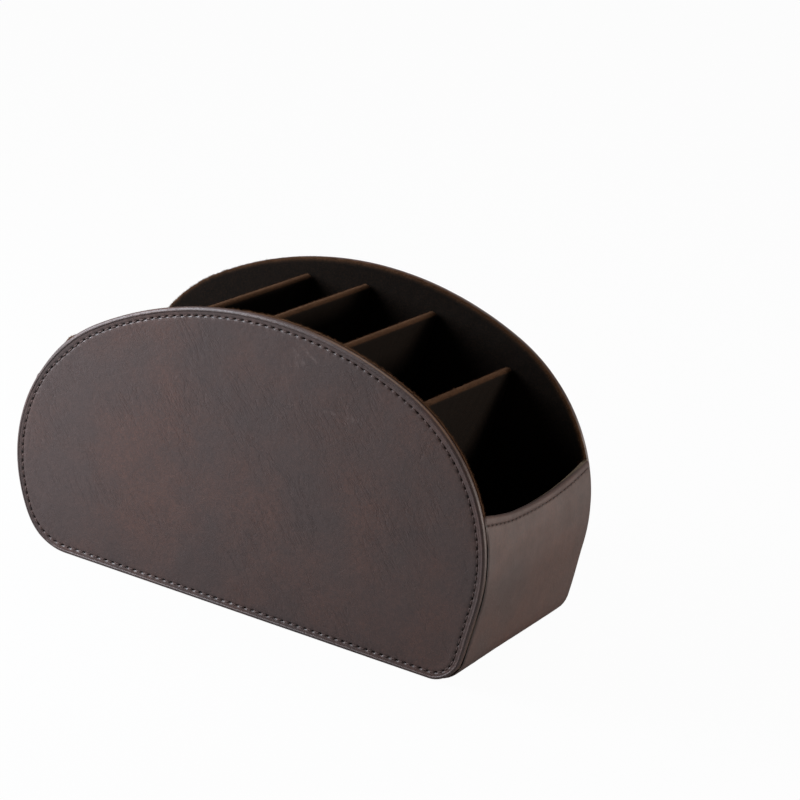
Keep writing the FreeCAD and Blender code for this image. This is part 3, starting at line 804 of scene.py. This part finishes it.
def divider_felt(number, material):
    """The felt folded over a divider's board, with two round upper corners."""
    node = f"divider_{number}_felt"
    low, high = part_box(node)
    seed = 100 + 10 * number
    slant = math.radians(DIVIDER_SLANT)
    half_thick = COVER + BOARD / 2
    half_width = (high.y - low.y) / MM / 2
    floor = low.z / MM
    turn = DIVIDER_ROUND
    tall = (PANEL_HEIGHT - DIVIDER_DROPS[number - 1] - floor) / math.cos(slant)
    back_turn, front_turn = (tall - turn + way * DIVIDER_FALL / 2 for way in (-1, 1))
    square_up = math.atan2(DIVIDER_FALL, 2 * (turn - half_width)) - math.pi / 2
    slab = Outline([
        (half_width, 0.0, 0.0, -math.pi / 2, 0.0),
        (half_width - turn, back_turn, turn, 0.0, square_up),
        (turn - half_width, front_turn, turn, square_up, math.pi),
        (-half_width, 0.0, 0.0, math.pi, 3 * math.pi / 2),
    ])
    count = 420
    flat, normal = slab.at(np.arange(count) / count * slab.lengths(0.0).sum())
    lean_to = (math.sin(slant), math.cos(slant))
    face_to = (math.cos(slant), -math.sin(slant))
    base = DIVIDER_BASES[number - 1]
    middle = np.array([0.0, tall / 2])

    # The rounded edge, as inset and how far it is sunk below the face, and the rows of the face inside it.
    rounding = ((2.2, 0.0), (1.6, 0.03), (1.1, 0.14), (0.66, 0.36), (0.3, 0.7), (0.1, 1.1), (0.0, 1.5))
    profile = [(inset, half_thick - sunk) for inset, sunk in rounding]
    profile += [(inset, -thick) for inset, thick in reversed(profile)]
    innermost = flat - normal * 2.45
    shares = (0.1, 0.22, 0.34, 0.46, 0.58, 0.7, 0.82, 0.92)
    uneven = 0.12 * ripple(flat, 5.0, seed) + 0.08 * ripple(flat, 2.0, seed + 1)
    uneven = np.where(normal[:, 1] < -0.5, 0.0, uneven)

    def place(spots, thick):
        x = base + spots[:, 1] * lean_to[0] + thick * face_to[0]
        z = floor + spots[:, 1] * lean_to[1] + thick * face_to[1]
        return np.column_stack([x, spots[:, 0], np.maximum(z, floor)])

    def face_rows(sign):
        """The rows of one face, from its middle out."""
        rows = [place(middle[None], sign * half_thick)]
        for share in shares:
            spots = middle + (innermost - middle) * share
            nap = 0.08 * (1 + ripple(spots, 9.0, seed + 2 + sign))
            rows.append(place(spots, sign * (half_thick - nap)))
        return rows

    loops = face_rows(1)
    marks = [np.zeros(1 + count * len(shares))]
    for inset, thick in profile:
        loops.append(place(flat - normal * (inset + uneven * 0.5 + 0.05)[:, None], thick))
        # Marks of 1 leave the rounded upper edge brown as if lit; the faces and lower edges stay 0,
        # painted near black as shade.
        marks.append(np.full(count, 1.0 - fade(0.3, 1.4, inset)) * fade(-0.5, 0.3, normal[:, 1]))
    loops += face_rows(-1)[::-1]
    marks.append(marks[0])
    points, faces = shell(loops)

    # Fibres on the upper part of the edge.
    pick = np.random.default_rng(seed + 5)
    chosen = pick.choice(np.flatnonzero(flat[:, 1] > tall * 0.6), size=2600)
    tilt = pick.uniform(-1.3, 1.3, len(chosen))
    slide = pick.uniform(-0.3, 0.3, len(chosen))
    way = normal[chosen]
    along = np.column_stack([-way[:, 1], way[:, 0]])
    spot = flat[chosen] + along * slide[:, None] - way * (1.1 - 1.1 * np.cos(tilt))[:, None]
    roots = place(spot, half_thick * np.sin(tilt) * 0.96)
    rise = way * np.cos(tilt)[:, None]
    outs = np.column_stack([
        rise[:, 1] * lean_to[0] + np.sin(tilt) * face_to[0],
        rise[:, 0],
        rise[:, 1] * lean_to[1] + np.sin(tilt) * face_to[1],
    ])
    fluff = fibres(roots, outs, 0.8, seed + 6)
    marks.append(np.full(len(fluff[0]), 0.8))
    points, faces = merged([(points, facing_out(points, faces)), fluff])
    make_piece(f"divider_{number}_cloth", points, faces, material, "felt", (node,), marks)


# Materials.

def colour(red, green, blue):
    """A colour written in 0-255 as it shows on screen, made linear for a shader."""
    def linear(step):
        step /= 255
        return step / 12.92 if step <= 0.04045 else ((step + 0.055) / 1.055) ** 2.4
    return (linear(red), linear(green), linear(blue), 1.0)


class Shader:
    """A small helper that adds and links the nodes of one material or world."""

    def __init__(self, owner, output="ShaderNodeOutputMaterial"):
        owner.use_nodes = True
        self.owner = owner
        self.tree = owner.node_tree
        self.tree.nodes.clear()
        self.output = self.tree.nodes.new(output)

    @functools.cached_property
    def place(self):
        return self.node("ShaderNodeTexCoord").outputs["Object"]

    def put(self, socket, source):
        if isinstance(source, bpy.types.NodeSocket):
            self.tree.links.new(source, socket)
        else:
            socket.default_value = source

    def node(self, kind, inputs=None, **settings):
        made = self.tree.nodes.new(kind)
        for name, setting in settings.items():
            setattr(made, name, setting)
        for name, source in (inputs or {}).items():
            self.put(made.inputs[name], source)
        return made

    def marks(self):
        """The numbers that make_piece gives to the points."""
        return self.node("ShaderNodeAttribute", attribute_name="pit").outputs["Fac"]

    def mapped(self, turn, scale):
        turn = tuple(map(math.radians, turn))
        turned = self.node("ShaderNodeMapping", {"Vector": self.place, "Rotation": turn})
        return self.node("ShaderNodeMapping", {"Vector": turned.outputs[0], "Scale": scale}).outputs[0]

    def noise(self, size, vector=None, detail=2.0, rough=0.5, distortion=0.0, output="Fac"):
        """Noise with features of about this size, in millimetres."""
        inputs = {
            "Vector": vector or self.place,
            "Scale": 1 / (size * MM),
            "Detail": detail,
            "Roughness": rough,
            "Distortion": distortion,
        }
        return self.node("ShaderNodeTexNoise", inputs).outputs[output]

    def spread(self, source, low, high, to_low=0.0, to_high=1.0):
        inputs = {"Value": source, "From Min": low, "From Max": high, "To Min": to_low, "To Max": to_high}
        return self.node("ShaderNodeMapRange", inputs).outputs[0]

    def math(self, operation, first, second=0.0):
        return self.node("ShaderNodeMath", {0: first, 1: second}, operation=operation).outputs[0]

    def vector(self, operation, first, second, output=0):
        made = self.node("ShaderNodeVectorMath", {0: first, 1: second}, operation=operation)
        return made.outputs[output]

    def mix(self, share, first, second):
        return self.node("ShaderNodeMix", {0: share, 6: first, 7: second}, data_type="RGBA").outputs[2]

    def bump(self, height, strength, distance, normal=None):
        inputs = {"Height": height, "Strength": strength, "Distance": distance * MM}
        if normal is not None:
            inputs["Normal"] = normal
        return self.node("ShaderNodeBump", inputs).outputs[0]

    def stroke(self, place, mark):
        """1 along a short line on the XZ plane, fading to 0 at its ends and sides."""
        x1, z1, x2, z2, half_width = mark
        length = math.hypot(x2 - x1, z2 - z1)
        along = ((x2 - x1) / length, 0.0, (z2 - z1) / length)
        across = (-along[2], 0.0, along[0])
        away = self.vector("SUBTRACT", place, ((x1 + x2) / 2 * MM, 0.0, (z1 + z2) / 2 * MM))
        shares = []
        for way, whole, none in ((along, 0.3 * length, 0.5 * length), (across, 0.0, half_width)):
            far = self.math("ABSOLUTE", self.vector("DOT_PRODUCT", away, way, output=1))
            shares.append(self.spread(far, whole * MM, none * MM, 1.0, 0.0))
        return self.math("MULTIPLY", *shares)

    def strokes(self, place, marks):
        total = self.stroke(place, marks[0])
        for mark in marks[1:]:
            total = self.math("MAXIMUM", total, self.stroke(place, mark))
        return total

    def surface(self, inputs):
        self.put(self.output.inputs[0], self.node("ShaderNodeBsdfPrincipled", inputs).outputs[0])
        return self.owner

    def white_where_seen(self, lit, white, strength):
        """Put out what is lit, mixed with plain white light for the rays that see the background."""
        seen = self.math("MULTIPLY", self.node("ShaderNodeLightPath").outputs["Is Camera Ray"], strength)
        light = self.node(white, {0: (1, 1, 1, 1), 1: 1.0})
        mixed = self.node("ShaderNodeMixShader", {0: seen, 1: lit.outputs[0], 2: light.outputs[0]})
        self.put(self.output.inputs[0], mixed.outputs[0])


LEATHER_COLOUR = colour(78, 57, 51)
LEATHER_WARM = colour(96, 62, 50)
LEATHER_DARK = colour(54, 39, 35)
PAINTED_SHADE_COLOUR = colour(14, 10, 9)
PAINTED_HIGHLIGHT_COLOUR = colour(126, 90, 60)
SCUFF_COLOUR = colour(120, 100, 94)
THREAD_COLOUR = colour(80, 62, 57)
FELT_COLOUR = colour(58, 38, 25)
FELT_TIP = colour(92, 62, 40)
FELT_PAINTED_SHADE = colour(12, 8, 5)
FELT_SHEEN = colour(150, 112, 82)
BOARD_COLOUR = colour(120, 104, 84)
BOARD_FLECKS = colour(92, 78, 62)
FLOOR_TONES = ((0.42, 0.42, 0.42, 1), (0.44, 0.44, 0.44, 1))


# Marks of wear on the front, as start x and z, end x and z, and half width.
CREASES = (
    (-60.1, 88.3, -50.0, 79.6, 0.5),
    (-57.0, 86.5, -42.7, 78.3, 0.4),
    (-34.1, 103.9, -22.7, 95.5, 0.4),
    (-31.5, 104.0, -21.0, 94.0, 0.35),
    (-11.9, 84.6, 26.2, 65.7, 0.45),
    (-4.0, 84.0, 20.0, 70.5, 0.35),
    (10.0, 76.0, 32.0, 58.0, 0.35),
)
SCUFFS = (
    (12.5, 128.4, 20.6, 120.7, 1.2),
    (16.2, 130.4, 27.1, 123.5, 1.0),
    (14.5, 126.0, 17.5, 119.0, 1.0),
    (31.2, 103.5, 40.0, 104.5, 1.2),
    (42.0, 103.6, 49.8, 104.8, 1.4),
    (-72.1, 108.5, -71.1, 107.8, 0.4),
    (-10.6, 91.4, -9.8, 90.8, 0.35),
    (-31.3, 44.3, -30.5, 43.8, 0.35),
    (48.8, 32.7, 54.1, 36.8, 0.3),
)


def leather(name, turn, stretch, folds=1.0, wear_and_painted_light=False, matt=0.0):
    """Smooth coated leather with a fine grain and soft creases that run one way, with painted shade in the
    creases and in the needle holes.

    Marks above 0 paint shade into it, those down to -1 burnish it and those down to -2 paint a pale tan
    highlight on it.
    """
    shader = Shader(bpy.data.materials.new(name))
    patches = shader.noise(34.0, detail=3.0)
    clouds = shader.noise(11.0, detail=4.0, rough=0.6)
    mottle = shader.noise(1.6, detail=3.0, rough=0.7)
    fine = shader.noise(0.5, rough=0.7)
    tone = shader.mix(shader.spread(patches, 0.38, 0.64), LEATHER_COLOUR, LEATHER_WARM)
    darker = ((clouds, 0.3, 0.75, 0.45), (mottle, 0.35, 0.7, 0.55), (fine, 0.3, 0.7, 0.7))
    for spots, low, high, most in darker:
        tone = shader.mix(shader.spread(spots, low, high, 0.0, most), tone, LEATHER_DARK)

    lines = shader.noise(4.5, shader.mapped(turn, stretch), detail=5.0, rough=0.6, distortion=0.6)
    crease = shader.math("ABSOLUTE", shader.math("SUBTRACT", lines, 0.5))
    where = shader.spread(shader.noise(24.0), 0.4, 0.6)
    crease = shader.math("ADD", shader.spread(crease, 0.0, 0.05), shader.math("SUBTRACT", 1.0, where))
    crease = shader.node("ShaderNodeClamp", {"Value": crease}).outputs[0]
    # Darker along the creases: a painted shade.
    tone = shader.mix(shader.spread(crease, 0.0, 1.0, 0.16 * folds, 0.0), tone, LEATHER_DARK)
    pebbles = shader.node("ShaderNodeTexVoronoi", {"Vector": shader.place, "Scale": 1 / (0.55 * MM)})
    normal = shader.bump(pebbles.outputs["Distance"], 0.3, 0.08)
    normal = shader.bump(mottle, 0.65, 0.2, normal)
    normal = shader.bump(crease, 0.55 * folds, 0.14, normal)
    normal = shader.bump(shader.noise(5.0, detail=3.0), 0.35 * folds, 0.3, normal)
    if wear_and_painted_light:
        # The strokes follow a wandering line, up to about 1.2 mm beside the straight one.
        wander = shader.vector("SUBTRACT", shader.noise(3.0, detail=3.0, output="Color"), (0.5, 0.5, 0.5))
        warped = shader.vector("ADD", shader.place, shader.vector("MULTIPLY", wander, (2.4 * MM,) * 3))
        folded = shader.strokes(warped, CREASES)
        scuffed = shader.strokes(warped, SCUFFS)
        # The creases are darkened as painted shade in their dents; the scuffs are paler.
        tone = shader.mix(shader.math("MULTIPLY", folded, 0.5), tone, LEATHER_DARK)
        patchy = shader.math("MULTIPLY", scuffed, shader.spread(mottle, 0.4, 0.7, 0.0, 0.55))
        tone = shader.mix(patchy, tone, SCUFF_COLOUR)
        normal = shader.bump(folded, -0.9, 0.2, normal)
        normal = shader.bump(scuffed, 0.4, 0.1, normal)
    marks = shader.marks()
    # Marks above 0 paint shade into needle holes, stitch grooves and seam cracks; marks down to -2 paint a
    # pale tan highlight on the rim's round edge.
    tone = shader.mix(shader.spread(marks, 0.05, 0.8), tone, PAINTED_SHADE_COLOUR)
    tone = shader.mix(shader.spread(marks, -2.0, -1.0, 0.7, 0.0), tone, PAINTED_HIGHLIGHT_COLOUR)
    rough = shader.spread(clouds, 0.3, 0.7, 0.42 + matt, 0.54 + matt)
    rough = shader.math("ADD", rough, shader.spread(marks, -1.0, 0.0, 0.06, 0.0))
    return shader.surface({
        "Base Color": tone,
        "Roughness": rough,
        "Specular IOR Level": 0.65,
        "Normal": normal,
    })


def thread():
    shader = Shader(bpy.data.materials.new("thread"))
    tone = shader.mix(shader.noise(0.4), THREAD_COLOUR, LEATHER_COLOUR)
    normal = shader.bump(shader.noise(0.15, detail=1.0), 0.4, 0.03)
    return shader.surface({
        "Base Color": tone,
        "Roughness": 0.65,
        "Specular IOR Level": 0.35,
        "Normal": normal,
    })


def felt():
    """Dark brown felt: matted fibres with paler tips where its marks are 1, painted near black as shade
    where they are 0, and a soft sheen where its marks are above 0.
    """
    shader = Shader(bpy.data.materials.new("felt"))
    wear_and_painted_light = shader.marks()
    matted = shader.noise(0.7, detail=5.0, rough=0.75, distortion=0.8)
    tufts = shader.noise(3.2, detail=3.0, rough=0.6)
    patches = shader.noise(22.0)
    tone = shader.mix(shader.spread(matted, 0.42, 0.72), FELT_COLOUR, FELT_TIP)
    tone = shader.mix(shader.spread(tufts, 0.35, 0.7, 0.0, 0.5), tone, FELT_COLOUR)
    tone = shader.mix(shader.spread(patches, 0.35, 0.65, 0.0, 0.35), tone, FELT_COLOUR)
    # Painted shade: the near-black nap where the marks are 0.
    painted_shade_nap = shader.mix(shader.spread(matted, 0.45, 0.8, 0.0, 0.35), FELT_PAINTED_SHADE, FELT_COLOUR)
    tone = shader.mix(wear_and_painted_light, painted_shade_nap, tone)
    normal = shader.bump(tufts, 0.4, 0.35)
    normal = shader.bump(matted, 0.8, 0.25, normal)
    return shader.surface({
        "Base Color": tone,
        "Roughness": 0.95,
        "Specular IOR Level": 0.1,
        "Sheen Weight": shader.spread(wear_and_painted_light, 0.0, 1.0, 0.02, 0.25),
        "Sheen Roughness": 0.6,
        "Sheen Tint": FELT_SHEEN,
        "Normal": normal,
    })


def grey_board():
    shader = Shader(bpy.data.materials.new("board"))
    flecks = shader.noise(0.9, detail=4.0, rough=0.7)
    tone = shader.mix(shader.spread(flecks, 0.4, 0.7), BOARD_COLOUR, BOARD_FLECKS)
    normal = shader.bump(flecks, 0.3, 0.05)
    return shader.surface({"Base Color": tone, "Roughness": 0.85, "Normal": normal})


# Stage, lights and camera.

FLOOR_REACH = 5.0
FLOOR_DROP = 0.0002
SKY_COLOUR = (1.0, 0.98, 0.96, 1)
WORLD_LIGHT = 0.11
LAMPS = (
    # name, place in metres, aim in metres, side of the square in metres, power, colour
    ("key", (-0.46, -0.24, 0.34), (-0.25, 0.0, 0.07), 0.4, 7.9, (0.84, 0.91, 1.0)),
    ("right", (1.0, 0.42, 0.2), (0.12, 0.02, 0.03), 0.36, 7.5, (1.0, 0.95, 0.9)),
    ("top", (0.1, 0.55, 1.5), (0.0, 0.0, 0.1), 0.8, 5.5, (1.0, 1.0, 1.0)),
)
EYE = (0.69771, -1.43546, 0.65786)
LOOK_AT = (0.03081, 0.02352, 0.08889)
ROLL = 8.718
LENS = 170.635


def build_stage():
    shader = Shader(bpy.data.materials.new("floor_paper"))
    tone = shader.mix(shader.spread(shader.noise(40.0), 0.3, 0.7), *FLOOR_TONES)
    paper = shader.node("ShaderNodeBsdfDiffuse", {"Color": tone})
    shader.white_where_seen(paper, "ShaderNodeEmission", 0.97)
    mesh = bpy.data.meshes.new("floor")
    corners = [(x * FLOOR_REACH, y * FLOOR_REACH, 0) for x, y in ((-1, -1), (1, -1), (1, 1), (-1, 1))]
    mesh.from_pydata(corners, [], [(0, 1, 2, 3)])
    mesh.materials.append(shader.owner)
    floor = bpy.data.objects.new("floor", mesh)
    floor.location.z = -FLOOR_DROP
    bpy.context.scene.collection.objects.link(floor)

    world = bpy.data.worlds.new("studio")
    bpy.context.scene.world = world
    shader = Shader(world, "ShaderNodeOutputWorld")
    sky = shader.node("ShaderNodeBackground", {0: SKY_COLOUR, 1: WORLD_LIGHT})
    shader.white_where_seen(sky, "ShaderNodeBackground", 1.0)


def aimed(name, data, place, target, roll=0.0):
    """An object for a camera or lamp, which looks at a target and is rolled about the line of sight."""
    thing = bpy.data.objects.new(name, data)
    bpy.context.scene.collection.objects.link(thing)
    forward = (Vector(target) - Vector(place)).normalized()
    level = forward.cross(Vector((0, 0, 1))).normalized()
    upright = level.cross(forward)
    right = level * math.cos(roll) + upright * math.sin(roll)
    up = upright * math.cos(roll) - level * math.sin(roll)
    turned = Matrix((right, up, -forward)).transposed().to_4x4()
    thing.matrix_world = Matrix.Translation(place) @ turned
    return thing


def build_lamps():
    for name, place, target, side, power, tint in LAMPS:
        lamp = bpy.data.lights.new(name, "AREA")
        lamp.shape = "SQUARE"
        lamp.size = side
        lamp.energy = power
        lamp.color = tint
        aimed(name, lamp, place, target)


def build_camera():
    camera = bpy.data.cameras.new("camera")
    camera.sensor_width = 36.0
    camera.lens = LENS
    camera.clip_start = 0.05
    camera.clip_end = 50.0
    bpy.context.scene.camera = aimed("camera", camera, EYE, LOOK_AT, math.radians(ROLL))


def main():
    sewing, cloth, board = thread(), felt(), grey_board()
    for name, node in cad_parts.items():
        if name.endswith("_board"):
            node.data.materials.clear()
            node.data.materials.append(board)
    for side in ("front", "back"):
        skin = leather(f"{side}_leather", (0, 42, 0), (1.0, 1.0, 0.2), wear_and_painted_light=side == "front")
        panel_skin(side, skin)
        panel_stitches(side, sewing)
        panel_felt(side, cloth)
    band_skin(leather("band_leather", (0, 0, 0), (1.0, 1.0, 0.22), folds=0.4, matt=0.16))
    hem_stitches(sewing)
    band_felt(cloth)
    for number in range(1, len(DIVIDER_BASES) + 1):
        divider_felt(number, cloth)
    build_stage()
    build_lamps()
    build_camera()
    bpy.context.scene.view_settings.view_transform = "Standard"


main()
